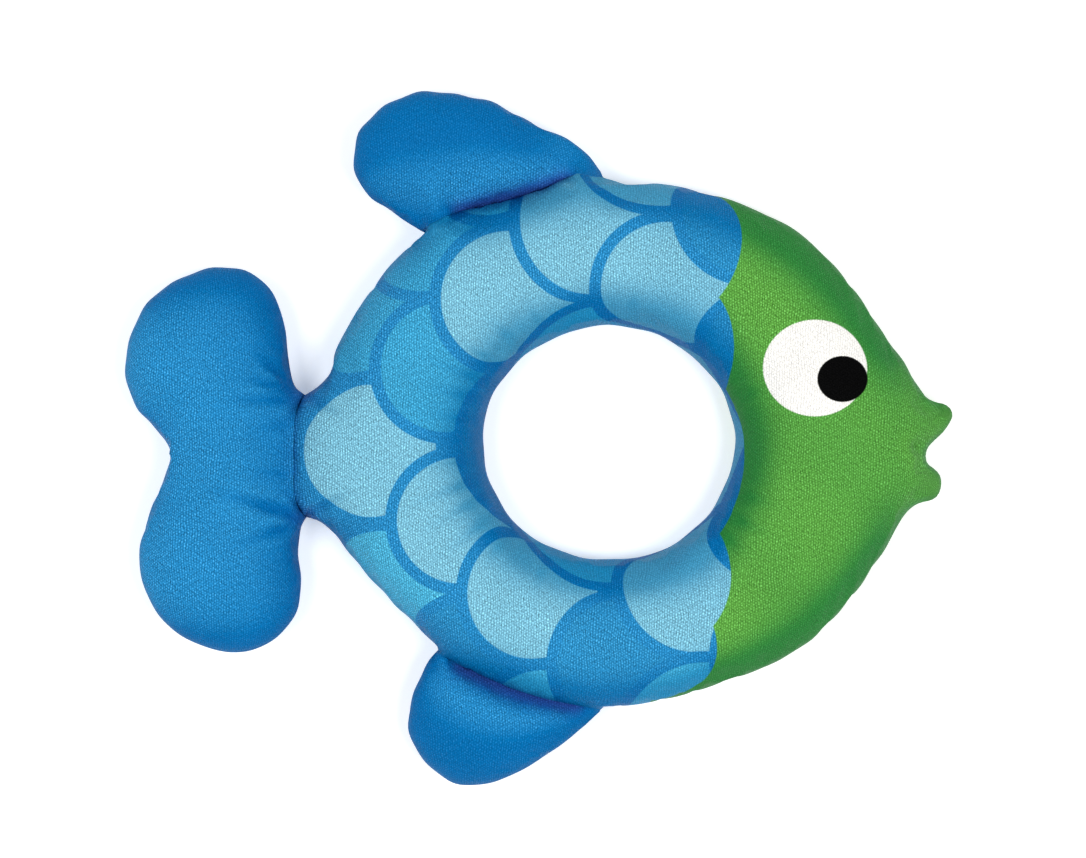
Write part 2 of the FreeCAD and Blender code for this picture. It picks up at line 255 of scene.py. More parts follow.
fixed, filling = plan_points()
flat_points = np.concatenate(fixed + [filling])
n_outline, n_hole = len(outline), len(hole)
edges = [(i, (i + 1) % n_outline) for i in range(n_outline)]
edges += [(n_outline + i, n_outline + (i + 1) % n_hole) for i in range(n_hole)]
notches = np.cumsum([0] + [len(r) - 1 for r in runs])[:-1]
ends = {"neck": (notches[0], notches[5]), "upper": (notches[1], notches[2]),
        "lower": (notches[4], notches[3])}
base = n_outline + n_hole
crease_index = {}
for name, line in creases.items():
    ids = [int(ends[name][0])] + list(range(base, base + len(line) - 2)) + [int(ends[name][1])]
    base += len(line) - 2
    crease_index[name] = ids
    edges += list(zip(ids[:-1], ids[1:]))
cdt = geometry.delaunay_2d_cdt([Vector(p) for p in flat_points], edges, [], 0, 1e-4)
plan = np.array([tuple(v) for v in cdt[0]])
tris = np.array([f for f in cdt[2] if len(f) == 3])
to_new = {}
for new, olds in enumerate(cdt[3]):
    for old in olds:
        to_new[old] = new
tris = tris[in_cloth(plan[tris].mean(1))]
e1, e2 = plan[tris[:, 1]] - plan[tris[:, 0]], plan[tris[:, 2]] - plan[tris[:, 0]]
area = 0.5 * (e1[:, 0] * e2[:, 1] - e1[:, 1] * e2[:, 0])
tris[area < 0] = tris[area < 0][:, ::-1]
area = np.abs(area)
tris, area = tris[area > 1e-4], area[area > 1e-4]
used = np.unique(tris)
renum = np.full(len(plan), -1)
renum[used] = np.arange(len(used))
plan, tris = plan[used], renum[tris]
rim_ids = [renum[to_new[i]] for i in range(n_outline + n_hole)]
crease_ids = {k: [renum[to_new[i]] for i in v] for k, v in crease_index.items()}
count = len(plan)

# ---------------------------------------------------------------- heights
# A Poisson solve over the flat mesh, held low along the stitch lines, gives the padding's height:
# over a long strip the root of twice its solution is a half circle, as in a blown-up tube.
edge_dist, edge_foot = nearest(plan, edge_lines)
rim = np.zeros(count, bool)
rim[rim_ids] = True


def region_of(points):
    """The number of the chamber that each point is in."""
    result = np.zeros(len(points), int)
    for region, run, crease in ((1, 5, creases["neck"]), (2, 1, creases["upper"][::-1]),
                                (3, 3, creases["lower"])):
        result[inside(points, np.concatenate([runs[run][:-1], crease[:-1]]))] = region
    return result


tri_region = region_of(plan[tris].mean(1))
# cotangent weights of the mesh's edges
i0, i1, i2 = tris.T
pairs, cots = [], []
for a, b, c in ((i0, i1, i2), (i1, i2, i0), (i2, i0, i1)):
    u, v = plan[a] - plan[c], plan[b] - plan[c]
    cot = (u * v).sum(1) / np.abs(u[:, 0] * v[:, 1] - u[:, 1] * v[:, 0])
    pairs.append(np.stack([a, b], axis=1))
    cots.append(np.clip(cot, -0.3, 40) * 0.5)
pairs = np.concatenate(pairs)
cots = np.concatenate(cots)
mass = np.bincount(tris.ravel(), weights=np.repeat(area / 3, 3), minlength=count)
diag = np.bincount(pairs[:, 0], cots, count) + np.bincount(pairs[:, 1], cots, count)


def laplace(x):
    """The membrane's pull at each vertex for heights x."""
    return diag * x - np.bincount(pairs[:, 0], cots * x[pairs[:, 1]], count) \
        - np.bincount(pairs[:, 1], cots * x[pairs[:, 0]], count)


def solve(rhs, held, values):
    """Conjugate gradients for laplace(x) = rhs with x held at some vertices."""
    x = np.where(held, values, 0.0)
    free_v = ~held
    r = (rhs - laplace(x)) * free_v
    pre = 1.0 / np.maximum(diag, 1e-9)
    z = pre * r
    p = z.copy()
    rz = (r * z).sum()
    start = rz
    for _ in range(1500):
        ap = laplace(p) * free_v
        alpha = rz / (p * ap).sum()
        x = x + alpha * p
        r = r - alpha * ap
        z = pre * r
        new = (r * z).sum()
        if new < 1e-12 * start:
            break
        p = z + new / rz * p
        rz = new
    return x


# Along a fin's crease, in mm: unsewn at its start and end, the fade of the stitches, and the half
# gap where they begin; their tightest half gap is FIN_TIGHT.
FIN_STITCHES = {"upper": (17.0, 18.0, 15.0, 10.0), "lower": (5.0, 5.0, 8.0, 4.6)}
FIN_TIGHT = 3.2


def smooth(t, top=1.0):
    """0 to top with flat ends, as t goes from 0 to 1."""
    t = np.clip(t, 0, 1)
    return top * t * t * (3 - 2 * t)


def crease_heights(name):
    """Half the gap between the front and back cloth on a stitch line; negative where it isn't sewn."""
    line = plan[crease_ids[name]]
    along = np.concatenate([[0], np.cumsum(np.linalg.norm(np.diff(line, axis=0), axis=1))])
    rest = along[-1] - along
    if name == "neck":
        from_end = np.minimum(along, rest)
        return np.where(from_end < 2, -1.0, 2.6 + smooth((from_end - 3) / 14, 12.0))
    start, stop, fade, loose = FIN_STITCHES[name]
    sewn = np.clip(np.minimum(along - start, rest - stop) / fade, 0, 1)
    height = loose + (FIN_TIGHT - loose) * sewn ** 0.6
    return np.where((along < start) | (rest < stop), -1.0, height)


held = rim.copy()
held_value = np.zeros(count)
for name, ids in crease_ids.items():
    for v, h in zip(ids, crease_heights(name)):
        if h > 0 and not rim[v]:
            held[v] = True
            held_value[v] = h * h / 2
phi = solve(mass, held, held_value)
tube = np.sqrt(2 * np.maximum(phi, 0))
# For body, tail, upper and lower fin: the share of the tube's height, and the height it levels off at.
SHARE = np.array([0.92, 0.76, 0.80, 0.78])
TOP = np.array([58.0, 42.0, 34.0, 32.0])
scale = np.zeros(count)
limit = np.zeros(count)
hits = np.zeros(count)
for k in range(3):
    np.add.at(scale, tris[:, k], SHARE[tri_region])
    np.add.at(limit, tris[:, k], TOP[tri_region])
    np.add.at(hits, tris[:, k], 1)
scale, limit = scale / hits, limit / hits
undirected = np.unique(np.sort(pairs, axis=1), axis=0)
degree = np.bincount(undirected.ravel(), minlength=count)


def soften(values, times):
    """Values at the plan's vertices, each drawn half way to its neighbours' mean, some times over."""
    for _ in range(times):
        total = np.bincount(undirected[:, 0], values[undirected[:, 1]], count) \
            + np.bincount(undirected[:, 1], values[undirected[:, 0]], count)
        values = 0.5 * values + 0.5 * total / degree
    return values


scale, limit = soften(scale, 12), soften(limit, 12)
# The head is up to 3 mm plumper.
limit = limit + smooth((plan[:, 0] - 70) / 70, 3.0) * (limit > 45)
raw = scale * tube
height = raw / (1 + (raw / limit) ** 4) ** 0.25


def out_of(points, hinge):
    """How far each point is out past a fin's hinge."""
    middle, turn = hinge
    normal = np.array([-math.sin(turn), math.cos(turn)])
    return (points - middle) @ normal


vertex_region = np.zeros(count, int)
for k in (3, 2, 1):
    vertex_region[np.unique(tris[tri_region == k])] = k
# The upper fin leans forwards and the lower fin back, from a soft start at the hinge.
lean = np.zeros(count)
for k, slope in ((2, 0.21), (3, -0.17)):
    out = np.maximum(out_of(plan, HINGES[k]), 0)
    lean += np.where(vertex_region == k, slope * (out - 6 * (1 - np.exp(-out / 6))), 0)

# ---------------------------------------------------------------- print coordinates
PRINT_REACH = 20.0     # the cloth's extra length is taken up this near to a seam
TUBE_RADIUS = np.array([33.0, 27.0, 20.0, 20.0])
# In the notches of the tail and the mouth the ways out cross, so the print isn't carried on there:
# x, y and reach.
PRINT_STOPS = ((-193.3, -3.6, 26.0), (201.6, -6.5, 10.0))


def excess(dist, radius, reach):
    """How much longer the cloth is than its plan, from reach in to dist from a seam."""
    d = np.minimum(dist, reach)

    def arc(v):
        return radius * np.arccos(np.clip(1 - v / radius, -1, 1))
    return (arc(np.array(reach)) - arc(d)) - (reach - d)


to_edge = edge_foot - plan
to_edge /= np.maximum(np.linalg.norm(to_edge, axis=1), 1e-6)[:, None]
stretch = excess(edge_dist, TUBE_RADIUS[vertex_region], PRINT_REACH)
for x, y, reach in PRINT_STOPS:
    stretch *= np.clip(np.hypot(plan[:, 0] - x, plan[:, 1] - y) / reach, 0, 1)
# On the rim itself the way out is the outline's own normal.
rim_line = np.concatenate([outline, hole])
rim_normals = np.concatenate([-line_normals(outline, True), -line_normals(hole, True)])
for v in np.where(edge_dist < 0.2)[0]:
    n = rim_normals[np.argmin(((rim_line - plan[v]) ** 2).sum(1))]
    to_edge[v] = -n if in_cloth((plan[v] + n)[None])[0] else n

# ---------------------------------------------------------------- the two faces as one shell
def soft_floor(z):
    """Keeps z above the floor, with a smooth turn into the flat part."""
    k = 1.4
    return FLOOR_CLEAR + k * np.log1p(np.exp((z - FLOOR_CLEAR) / k))


waviness = 0.5 * np.sin(plan[:, 0] / 23.0 + 1.0) * np.cos(plan[:, 1] / 31.0)
centre = SEAM + lean + waviness
front_z = centre + height
back_z = centre - height * 0.985
back_z = np.where(vertex_region == 0, soft_floor(back_z), np.maximum(back_z, FLOOR_CLEAR))
front = np.column_stack([plan, front_z])
back = np.column_stack([plan, back_z])
# The shell's vertices are the front's, then the back's without the rim, which both faces share.
others = np.where(~rim)[0]
on_plan = np.concatenate([np.arange(count), others])
back_id = np.arange(count)
back_id[others] = count + np.arange(len(others))
shell = np.concatenate([front, back[others]])
shell_faces = np.concatenate([tris, back_id[tris][:, ::-1]])
pinned = held[on_plan]


def mesh_object(name, points, faces):
    """A new object in the scene, points in m."""
    mesh = bpy.data.meshes.new(name)
    mesh.from_pydata([tuple(p) for p in points], [], [tuple(int(i) for i in f) for f in faces])
    mesh.update()
    piece = bpy.data.objects.new(name, mesh)
    bpy.context.scene.collection.objects.link(piece)
    return piece


def read_points(mesh):
    """The mesh's vertices as an array."""
    co = np.zeros(len(mesh.vertices) * 3, np.float32)
    mesh.vertices.foreach_get("co", co)
    return co.reshape(-1, 3).astype(float)


def vertex_normals(points, faces):
    """Unit normals at the vertices, as the mean of their faces' by area."""
    a, b, c = (points[faces[:, k]] for k in range(3))
    n = np.cross(b - a, c - a)
    total = np.zeros_like(points)
    for k in range(3):
        for c in range(3):
            total[:, c] += np.bincount(faces[:, k], n[:, c], len(points))
    return total / np.maximum(np.linalg.norm(total, axis=1), 1e-12)[:, None]


def puffed(points, faces, pinned):
    """The shell after a short cloth simulation under pressure, held along its seams."""
    cloth_obj = mesh_object("cloth_trial", points * MM, faces)
    group = cloth_obj.vertex_groups.new(name="pin")
    group.add([int(i) for i in np.where(pinned)[0]], 1.0, "REPLACE")
    cloth = cloth_obj.modifiers.new("cloth", "CLOTH")
    s = cloth.settings
    s.quality = 6
    s.mass = 0.15
    s.tension_stiffness = 25
    s.compression_stiffness = 25
    s.shear_stiffness = 8
    s.bending_stiffness = 0.35
    s.shrink_min = -0.015
    s.use_pressure = True
    s.uniform_pressure_force = 4.0
    s.vertex_group_mass = "pin"
    s.pin_stiffness = 1.0
    s.effector_weights.gravity = 0.0
    cloth.collision_settings.use_collision = False
    cloth.point_cache.frame_start = 1
    cloth.point_cache.frame_end = CLOTH_FRAMES
    for f in range(1, CLOTH_FRAMES + 1):
        bpy.context.scene.frame_set(f)
    depsgraph = bpy.context.evaluated_depsgraph_get()
    result = read_points(cloth_obj.evaluated_get(depsgraph).data) / MM
    bpy.data.objects.remove(cloth_obj)
    bpy.context.scene.frame_set(1)
    move = result - points
    size = np.linalg.norm(move, axis=1)
    move *= (MOST_MOVE * np.tanh(size / MOST_MOVE) / np.maximum(size, 1e-9))[:, None]
    return points + move


smooth_normals = vertex_normals(shell, shell_faces)
shell = puffed(shell, shell_faces, pinned)
shell[:, 2] = np.maximum(shell[:, 2], 0.05)


# Small folds, each from a start x, y to an end x, y, with depth and half width in mm.
FOLDS = [
    (-43.5, 117.5, -53.0, 122.5, 1.3, 2.2), (-40.5, 119.0, -50.0, 128.5, 0.8, 2.4),
    (-46.0, 114.5, -55.0, 114.0, 0.9, 2.2), (15.0, 137.2, 18.5, 144.0, 1.1, 2.0),
    (15.5, 136.4, 26.5, 139.0, 1.2, 1.8), (17.0, 134.5, 25.0, 131.0, 0.8, 2.0),
    (-128.2, 26.1, -149.5, 30.7, 2.6, 2.2), (-130.3, 29.7, -145.9, 44.3, 2.0, 2.2),
    (-128.2, 21.4, -155.8, 20.5, 2.0, 2.8), (-126.0, -38.6, -162.0, -27.7, 3.2, 2.8),
    (-127.1, -43.2, -155.8, -54.1, 1.8, 2.4), (-118.0, -36.5, -99.5, -27.6, 2.0, 2.6),
    (-119.0, 22.0, -104.0, 14.0, 1.9, 2.4), (-129.0, 8.0, -146.0, 5.0, 0.8, 2.4),
    (-129.0, -18.0, -149.0, -16.0, 1.0, 2.6), (-123.0, -44.0, -118.0, -47.0, 0.8, 2.0),
    (195.5, -27.5, 204.0, -33.0, 1.4, 2.0), (196.5, 18.5, 206.0, 14.5, 1.8, 3.0),
    (196.0, -4.0, 202.0, -6.0, 2.6, 3.6), (197.0, -13.5, 203.5, -12.0, 2.0, 2.8),
]
# Puckers that run out from the hole's seam: where round the hole in degrees, length, depth, width.
for place, length, depth, width in (
        (118, 18, 0.7, 2.0), (131, 24, 0.8, 2.2), (143, 30, 1.0, 2.2), (152, 34, 1.1, 2.0),
        (160, 30, 1.0, 2.2), (169, 26, 0.8, 2.0), (186, 30, 0.8, 2.2), (196, 36, 1.1, 2.2),
        (204, 32, 1.0, 2.0), (213, 34, 0.9, 2.2), (224, 22, 0.7, 2.2), (243, 20, 0.6, 2.2),
        (268, 18, 0.6, 2.4), (318, 22, 0.8, 2.4), (327, 26, 0.9, 2.2), (337, 24, 0.7, 2.4),
        (20, 16, 0.6, 2.4), (48, 18, 0.5, 2.4), (80, 18, 0.6, 2.2)):
    turn = math.radians(place)
    inner = np.array([HOLE[0] + (HOLE[2] + 3) * math.cos(turn),
                      HOLE[1] + (HOLE[3] + 3) * math.sin(turn)])
    outer = inner + length * np.array([math.cos(turn + 0.1), math.sin(turn + 0.1)])
    FOLDS.append((*inner, *outer, depth, width))


def fold_depths(points, hold):
    """How deep the small folds press the cloth in at each point, in mm; negative on their flanks."""
    total = np.zeros(len(points))
    for x1, y1, x2, y2, depth, width in FOLDS:
        a, b = np.array([x1, y1]), np.array([x2, y2])
        ab = b - a
        t = np.clip(((points[:, :2] - a) @ ab) / (ab @ ab), -0.15, 1.25)
        q = a + t[:, None] * ab
        d = np.linalg.norm(points[:, :2] - q, axis=1)
        fade = np.clip(1 - np.clip(t, 0, 1.25) / 1.25, 0, 1)
        shape = np.exp(-(d / width) ** 2) - 0.35 * np.exp(-((d - 2.1 * width) / width) ** 2)
        total += depth * fade * shape * hold
    return total


normals = vertex_normals(shell, shell_faces)
# The folds fade out towards the seams and stitches.
line_hold = np.clip((nearest(plan, all_lines)[0][on_plan] - 0.8) / 5.0, 0, 1)
pressed = fold_depths(shell, line_hold)
shell = np.where(pinned[:, None], shell, shell - normals * pressed[:, None])
shell[:, 2] = np.maximum(shell[:, 2], 0.05)
normals = vertex_normals(shell, shell_faces)

# ---------------------------------------------------------------- covers and stuffing
# The print is laid out as it shows from the front, then carried on round the edges.
towards_eye = VIEW_DISTANCE_MM / (VIEW_DISTANCE_MM - (shell[:count, 2] - SEAM))
seen = EYE_POINT + (shell[:count, :2] - EYE_POINT) * towards_eye[:, None]
shell_print = (seen + to_edge * stretch[:, None])[on_plan]

# Painted light, 0 to 1: a painted highlight where the cloth faces towards the lamps,
# and painted shade where it turns away from them.
across = np.clip((plan[:, 0] - 20) / 130, -1, 1)
headward = np.clip((plan[:, 0] - 60) / 60, 0, 1)
lamp_way = np.column_stack([across * (0.30 - 0.27 * headward), -0.05 - 0.03 * headward, np.ones(count)])
lamp_way[vertex_region == 2] = (0.19, -0.68, 1.0)
lamp_way[vertex_region == 3] = (0.08, 0.24, 1.0)
lamp_way /= np.linalg.norm(lamp_way, axis=1)[:, None]
leftward = np.clip((-20 - plan[:, 0]) / 60, 0, 1)
lips = np.clip((plan[:, 0] - 172) / 22, 0, 1)
eased = smooth_normals[:count].copy()
eased[:, 0] *= 1 - 0.55 * np.maximum(leftward, lips)
eased[:, 1] *= 1 - 0.35 * np.maximum(leftward * (vertex_region == 0), lips) \
    + 0.40 * headward * (1 - lips)
eased[:, 2] = np.sqrt(np.maximum(1 - eased[:, 0] ** 2 - eased[:, 1] ** 2, 0))
facing_lamps = (eased * lamp_way).sum(1)
# Painted shade is full where the cloth faces that way less than full_shade_below, and the painted
# highlight is full from full_highlight_from on.
full_shade_below = 0.74 - 0.13 * headward
full_shade_below[vertex_region > 1] = 0.86
full_highlight_from = 0.995
painted_light = np.clip((soften(facing_lamps, 5) - full_shade_below) / (full_highlight_from - full_shade_below), 0, 1)
painted_light = soften(0.5 * (smooth(painted_light) + painted_light), 3)
# On the head the painted highlight comes and goes in soft patches.
cloudy = 0.13 + 0.13 * np.sin(plan[:, 0] / 17.0 + plan[:, 1] / 41.0 - 0.9) \
    * np.cos(plan[:, 1] / 25.0 + 0.3)
painted_light *= (1 - headward * cloudy) * (1 - 0.22 * lips)
# Near the neck's stitches and the upper fin's front corner, more painted highlight is added.
neck_dist, _ = nearest(plan, [(creases["neck"], False)])
corner_dist = np.hypot(plan[:, 0] - 12.0, plan[:, 1] - 149.0)
painted_light += 0.30 * np.exp(-(neck_dist / 8.0) ** 2)
painted_light += 0.40 * np.exp(-(corner_dist / 14.0) ** 2) * (vertex_region == 2)
# Painted shade goes into each fold and onto the steep rims.
painted_light = np.clip(painted_light - 0.36 * pressed[:count] * (1 - lips), 0, 1)
painted_light *= np.clip((smooth_normals[:count, 2] - 0.05) / 0.40, 0, 1)
# Painted violet shade along a fin's sewn crease and at the neck's ends.
sewn = []
for name in ("upper", "lower"):
    heights = crease_heights(name)
    heights[:6] = heights[-6:] = -1.0
    sewn.append((plan[crease_ids[name]][(heights > 0) & (heights < 7.5)], False))
crease_dist, _ = nearest(plan, sewn)
crease_shade = np.exp(-(crease_dist / 4.5) ** 2) * (vertex_region > 1)
for end in (plan[crease_ids["neck"][0]], plan[crease_ids["neck"][-1]]):
    crease_shade += 0.5 * np.exp(-((plan - end) ** 2).sum(1) / 7.0 ** 2)
shell_painted_light = np.stack([painted_light, crease_shade], axis=1)[on_plan]


def rim_edges(faces):
    """Directed edges that only one face uses."""
    found = {}
    for f in faces:
        for a, b in ((f[0], f[1]), (f[1], f[2]), (f[2], f[0])):
            found[(int(a), int(b))] = True
    return [(a, b) for a, b in found if (b, a) not in found]


def own_numbers(faces):
    """The shell's vertices that the faces use, and each shell vertex's number among them."""
    ids = np.unique(faces)
    local = np.full(len(shell), -1)
    local[ids] = np.arange(len(ids))
    return ids, local


def shade_smooth(piece):
    piece.data.polygons.foreach_set("use_smooth", np.ones(len(piece.data.polygons), bool))


def cover(name, faces):
    """A closed cloth skin: the outer faces, the same faces moved in, and a strip round the rim."""
    ids, local = own_numbers(faces)
    outer = local[faces]
    n = len(ids)
    skin = shell[ids]
    inner = skin - normals[ids] * COVER
    inner[:, 2] = np.maximum(inner[:, 2], 0.3)
    strip = []
    for a, b in rim_edges(outer):
        strip.append((b, a, a + n))
        strip.append((b, a + n, b + n))
    all_faces = np.concatenate([outer, outer[:, ::-1] + n, np.array(strip)])
    piece = mesh_object(name, np.concatenate([skin, inner]) * MM, all_faces)
    loops = np.zeros(len(piece.data.loops), np.int32)
    piece.data.loops.foreach_get("vertex_index", loops)
    # The seam layer holds the painted light and the painted crease shade.
    for title, values in (("print", shell_print / 100.0), ("seam", shell_painted_light)):
        layer = piece.data.uv_layers.new(name=title)
        layer.data.foreach_set("uv", values[ids][loops % n].astype(np.float32).ravel())
    shade_smooth(piece)
    return piece


# Two places across the neck in x, and two ways out from a fin's hinge.
NECK_BEND = (-127.5, -137.5)
FIN_BEND = (-0.5, 10.0)
# The stuffing stops short of a fold: within reach of it, up to this share of the way is drawn in
# towards its middle.
TAIL_DRAW = (25.0, 0.40)
FIN_DRAW = (30.0, 0.50)
CUT_BACK = 2.6         # and all stuffing ends this far before a cut edge
# For the cut edges of each chamber, the way back into it.
inward = {}
for region in REGIONS:
    own = tris[tri_region == region]
    other = tris[tri_region != region]
    cut = np.zeros(count, bool)
    cut[np.intersect1d(own, other)] = True
    pull = np.zeros((count, 2))
    middle = plan[own].mean(1)
    for k in range(3):
        np.add.at(pull, own[:, k], middle - plan[own[:, k]])
    pull /= np.maximum(np.linalg.norm(pull, axis=1), 1e-9)[:, None]
    inward[region] = np.where(cut[:, None], pull, 0.0)


def stuffing(name, region, front_faces, back_faces):
    """The filling of one chamber: its shell moved in, and closed along its cut edges."""
    faces = np.concatenate([front_faces, back_faces])
    ids, local = own_numbers(faces)
    closed = local[faces]
    back_of = {int(local[v]): int(local[back_id[v]]) for v in np.unique(front_faces)}
    strip = []
    for a, b in rim_edges(closed):
        if a in back_of and b in back_of:
            if b != back_of[b]:
                strip.append((b, a, back_of[b]))
            if a != back_of[a]:
                strip.append((a, back_of[a], back_of[b]))
    inner = shell[ids].copy()
    where = on_plan[ids]
    level = centre[where]
    if region:
        if region == 1:
            past, (reach, share) = NECK_BEND[0] - inner[:, 0], TAIL_DRAW
        else:
            past, (reach, share) = out_of(inner[:, :2], HINGES[region]), FIN_DRAW
        draw = smooth(1 - past / reach, share)
        inner[:, :2] += (inner[:, :2].mean(0) - inner[:, :2]) * draw[:, None]
        inner[:, 2] = level + (inner[:, 2] - level) * (1 - 0.6 * draw)
    lumps = 0.35 * np.sin(inner[:, 0] / 5.1 + 1.3) * np.sin(inner[:, 1] / 4.3) \
        * np.sin(inner[:, 2] / 4.7 + 0.4)
    inner -= normals[ids] * (STUFFING + lumps)[:, None]
    inner[:, :2] += inward[region][where] * CUT_BACK
    # Its front and back stay apart, meet on the rim, and stay off the floor.
    is_front = ids < count
    inner[:, 2] = np.where(is_front, np.maximum(inner[:, 2], level + 0.25),
                           np.minimum(inner[:, 2], level - 0.25))
    inner[:, 2] = np.where(is_front & rim[where], level, inner[:, 2])
    inner[:, 2] = np.maximum(inner[:, 2], 1.8)
    piece = mesh_object(name, inner * MM, np.concatenate([closed, np.array(strip)]))
    shade_smooth(piece)
    return piece


pieces = {}
for region, title in REGIONS.items():
    front_faces = tris[tri_region == region]
    back_faces = shell_faces[len(tris):][tri_region == region]
    pieces[title + "_cover_front"] = cover(title + "_cover_front", front_faces)
    pieces[title + "_cover_back"] = cover(title + "_cover_back", back_faces)
    pieces[title + "_stuffing"] = stuffing(title + "_stuffing", region, front_faces, back_faces)


# ---------------------------------------------------------------- materials
def linear(*srgb):
    """An sRGB colour as the shader's linear one."""
    return tuple(c / 12.92 if c <= 0.04045 else ((c + 0.055) / 1.055) ** 2.4 for c in srgb)


class Nodes:
    """Short ways to add nodes to a material or a group."""
    def __init__(self, tree):
        self.tree = tree

    def add(self, kind, **props):
        node = self.tree.nodes.new(kind)
        for key, value in props.items():
            setattr(node, key, value)
        return node

    def put(self, socket, value):
        if isinstance(value, bpy.types.NodeSocket):
            self.tree.links.new(value, socket)
        else:
            socket.default_value = value

    def math(self, operation, a, b=0.0, c=0.0):
        node = self.add("ShaderNodeMath", operation=operation)
        self.put(node.inputs[0], a)
        self.put(node.inputs[1], b)
        self.put(node.inputs[2], c)
        return node.outputs[0]

    def vmath(self, operation, a, b=None, scale=None):
        node = self.add("ShaderNodeVectorMath", operation=operation)
        self.put(node.inputs[0], a)
        if b is not None:
            self.put(node.inputs[1], b)
        if scale is not None:
            self.put(node.inputs["Scale"], scale)
        return node.outputs["Value" if operation in ("LENGTH", "DISTANCE") else "Vector"]

    def mix(self, factor, a, b, blend="MIX"):
        node = self.add("ShaderNodeMix", data_type="RGBA", blend_type=blend)
        self.put(node.inputs[0], factor)
        self.put(node.inputs[6], a)
        self.put(node.inputs[7], b)
        return node.outputs[2]

    def ramp(self, value, low, high, out_low=0.0, out_high=1.0):
        node = self.add("ShaderNodeMapRange", interpolation_type="SMOOTHSTEP")
        self.put(node.inputs["Value"], value)
        self.put(node.inputs["From Min"], low)
        self.put(node.inputs["From Max"], high)
        self.put(node.inputs["To Min"], out_low)
        self.put(node.inputs["To Max"], out_high)
        return node.outputs["Result"]

    def noise(self, vector, scale, detail=2.0, roughness=0.5):
        node = self.add("ShaderNodeTexNoise")
        self.put(node.inputs["Vector"], vector)
        node.inputs["Scale"].default_value = scale
        node.inputs["Detail"].default_value = detail
        node.inputs["Roughness"].default_value = roughness
        return node.outputs["Fac"]


def rgba(c):
    return (*c, 1.0)


LIGHT = linear(0.465, 0.715, 0.810)
MIDDLE = linear(0.220, 0.605, 0.775)
TEAL = linear(0.285, 0.670, 0.815)
OUTLINE = linear(0.140, 0.515, 0.735)
BLUE = linear(0.160, 0.530, 0.735)
GREEN = linear(0.360, 0.625, 0.250)
WHITE = linear(0.950, 0.943, 0.925)
BLACK = linear(0.010, 0.010, 0.012)
RING = 6.2             # width of the band round a printed scale, mm
WALES = 0.768          # the knit's columns for each mm
COURSES = 0.662        # and its rows
PAINTED_SHADE_TIMES = (0.30, 0.60, 0.77)       # painted shade: the print's colour times this, less this
PAINTED_SHADE_LESS = (0.008, 0.0, 0.0)          # less this
# Painted shade in the creases goes towards this violet.
CREASE_SHADE_VIOLET = (0.030, 0.055, 0.33)
FLECK_GLINT_TIMES = (1.35, 1.30, 1.20)         # light yarn specks and painted glints: the colour times this, and this added
FLECK_GLINT_ADD = (0.08, 0.14, 0.11)          # and this added
# Printed scales from tail to head: x, y and radius of the fill in mm, and the fill's colour.
SCALES = [
    (-97.9, 69.8, 34.4, MIDDLE), (-88.6, -5.7, 34.4, LIGHT), (-81.8, -81.8, 34.4, TEAL),
    (-104.2, 145.9, 34.4, MIDDLE), (-75.5, -157.9, 34.4, TEAL),
    (-62.0, 112.0, 34.4, MIDDLE), (-49.0, 38.0, 33.9, MIDDLE), (-41.7, -41.9, 32.8, LIGHT),
    (-34.9, -118.3, 34.4, BLUE),
    (-28.7, 151.6, 34.4, TEAL), (-16.2, 73.5, 35.4, LIGHT), (-4.7, -0.5, 33.3, BLUE),
    (-3.9, -80.0, 33.9, LIGHT), (2.1, -155.3, 35.4, TEAL),
    (23.4, 192.8, 34.4, LIGHT), (29.7, 115.1, 40.1, LIGHT), (32.8, 32.3, 34.4, TEAL),
    (35.9, -37.5, 34.4, TEAL), (43.8, -116.7, 34.4, BLUE), (50.0, -192.8, 34.4, BLUE),
    (62.5, 164.1, 41.2, LIGHT), (66.2, 79.2, 34.4, LIGHT), (72.9, 3.1, 34.4, LIGHT),
    (81.8, -71.9, 38.6, LIGHT), (84.4, -152.7, 36.5, TEAL),
    (102.6, 197.5, 34.4, BLUE), (108.7, 120.9, 34.4, BLUE), (117.7, 40.6, 34.4, BLUE),
    (123.0, -35.4, 34.4, BLUE), (128.7, -112.5, 34.4, BLUE),
]
# Arcs that bound the blue side of the green head: x, y and radius.
HEAD_ARCS = [(55.7, 106.8, 49.5), (61.5, 51.0, 39.3), (42.5, -15.9, 58.2), (58.6, -70.9, 40.9),
             (55.7, -108.9, 36.5)]
EYE = (143.3, 37.5, 27.4, 25.4)         # x, y and the two radii
PUPIL = (157.6, 31.8, 13.3, 12.2)


def scale_group():
    """A group that paints one printed scale over a colour."""
    group = bpy.data.node_groups.new("printed scale", "ShaderNodeTree")
    face = group.interface
    face.new_socket("Vector", in_out="INPUT", socket_type="NodeSocketVector")
    face.new_socket("Centre", in_out="INPUT", socket_type="NodeSocketVector")
    face.new_socket("Radius", in_out="INPUT", socket_type="NodeSocketFloat")
    face.new_socket("Under", in_out="INPUT", socket_type="NodeSocketColor")
    face.new_socket("Fill", in_out="INPUT", socket_type="NodeSocketColor")
    face.new_socket("Color", in_out="OUTPUT", socket_type="NodeSocketColor")
    n = Nodes(group)
    given = n.add("NodeGroupInput")
    result = n.add("NodeGroupOutput")
    dist = n.vmath("DISTANCE", given.outputs["Vector"], given.outputs["Centre"])
    edge = n.math("SUBTRACT", dist, given.outputs["Radius"])
    in_ring = n.ramp(edge, RING - 0.35, RING + 0.35, 1.0, 0.0)
    in_fill = n.ramp(edge, -0.4, 0.4, 1.0, 0.0)
    ringed = n.mix(in_ring, given.outputs["Under"], rgba(OUTLINE))
    n.put(result.inputs["Color"], n.mix(in_fill, ringed, given.outputs["Fill"]))
    return group


